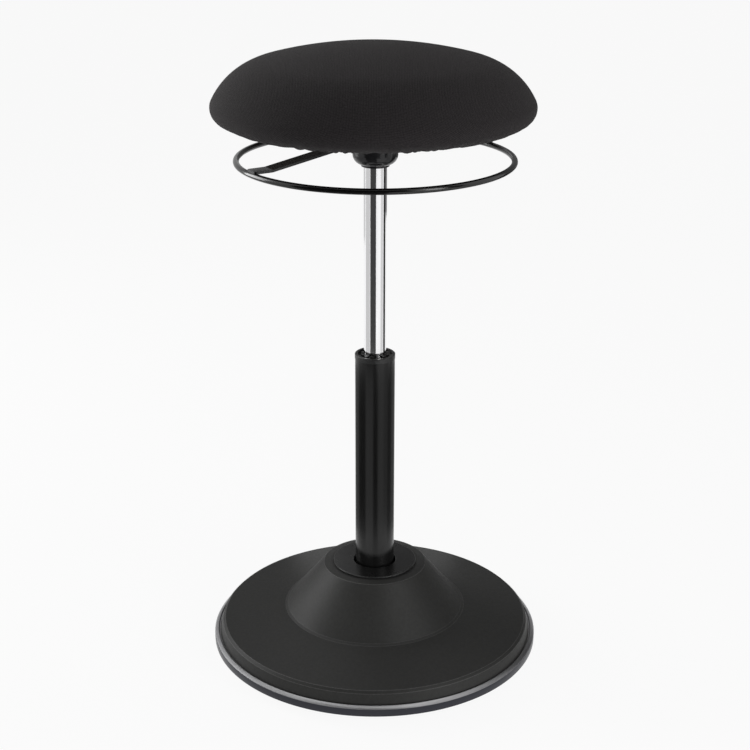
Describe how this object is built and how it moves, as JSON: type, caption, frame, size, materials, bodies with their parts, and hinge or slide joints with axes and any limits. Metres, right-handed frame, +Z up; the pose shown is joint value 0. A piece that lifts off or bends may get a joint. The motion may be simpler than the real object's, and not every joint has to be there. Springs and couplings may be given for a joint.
{
  "type": "perch stool",
  "caption": "Height-adjustable perch stool: round domed seat on a gas-lift column over a weighted disc base, with a release ring under the seat.",
  "frame": {"origin": "centre of the base on the floor, on the column's axis", "axes": "+Z up along the column; the picture looks along +Y, with +X to its right"},
  "size_m": [0.4239, 0.424, 0.785],
  "materials": {
    "sole_rubber": "matte",
    "moulded_black": "matte",
    "cast_weight": "matte",
    "rim_grey": "satin",
    "zinc_steel": "satin",
    "collar_black": "satin",
    "black_steel": "satin",
    "column_black": "satin",
    "bushing_black": "satin",
    "seal_rubber": "matte",
    "bare_aluminium": "satin",
    "chrome_tube": "polished",
    "gloss_black": "gloss",
    "ring_black": "gloss",
    "plywood": "matte",
    "foam": "matte",
    "seat_fabric": "matte",
    "elastic_band": "matte"
  },
  "bodies": {
    "base": {"sole": "sole_rubber", "base_tray": "moulded_black", "weight_plate": "cast_weight", "rim_ring": "rim_grey", "base_cover": "moulded_black", "cover_screws": "zinc_steel", "collar": "collar_black", "column_socket": "black_steel", "socket_bolts": "zinc_steel", "outer_tube": "column_black", "guide_bushing": "bushing_black", "lower_race": "zinc_steel", "thrust_disc": "bushing_black"},
    "rod": {"piston_rod": "zinc_steel", "upper_race": "zinc_steel", "retaining_clip": "zinc_steel", "bumper": "seal_rubber", "piston_head": "bare_aluminium", "piston_seal": "seal_rubber", "piston_nut": "zinc_steel"},
    "seat": {"pressure_tube": "chrome_tube", "rod_guide": "bushing_black", "rod_seal": "seal_rubber", "inner_tube": "bare_aluminium", "valve_body": "bare_aluminium", "taper_sleeve": "black_steel", "hub_bell": "gloss_black", "seat_plate": "black_steel", "lever_bracket": "black_steel", "lever_pin": "zinc_steel", "seat_pan": "plywood", "pan_nuts": "zinc_steel", "pan_bolts": "zinc_steel", "seat_foam": "foam", "seat_cover": "seat_fabric", "hem_elastic": "elastic_band"},
    "valve_pin": {"release_pin": "zinc_steel"},
    "release_lever": {"release_ring": "ring_black", "cross_bar": "ring_black"}
  },
  "joints": [
    {"name": "swivel", "type": "hinge", "parent": "base", "child": "rod", "pos_m": [0, 0, 0.044], "axis": [0, 0, 1], "continuous": true},
    {"name": "seat_height", "type": "slide", "parent": "rod", "child": "seat", "axis": [0, 0, 1], "range_m": [-0.225, 0]},
    {"name": "ring_lift", "type": "hinge", "parent": "seat", "child": "release_lever", "pos_m": [-0.0138, -0.00886, 0.68], "axis": [-0.5402, 0.8415, 0], "range_deg": [0, 6], "stiffness_Nm_per_rad": 2, "springref_deg": -11.46},
    {"name": "valve_press", "type": "slide", "parent": "seat", "child": "valve_pin", "axis": [0, 0, -1], "range_m": [0, 0.00175]}
  ],
  "couplings": [
    {"joint": "valve_press", "follows": "ring_lift", "m_per_rad": 0.0164}
  ]
}
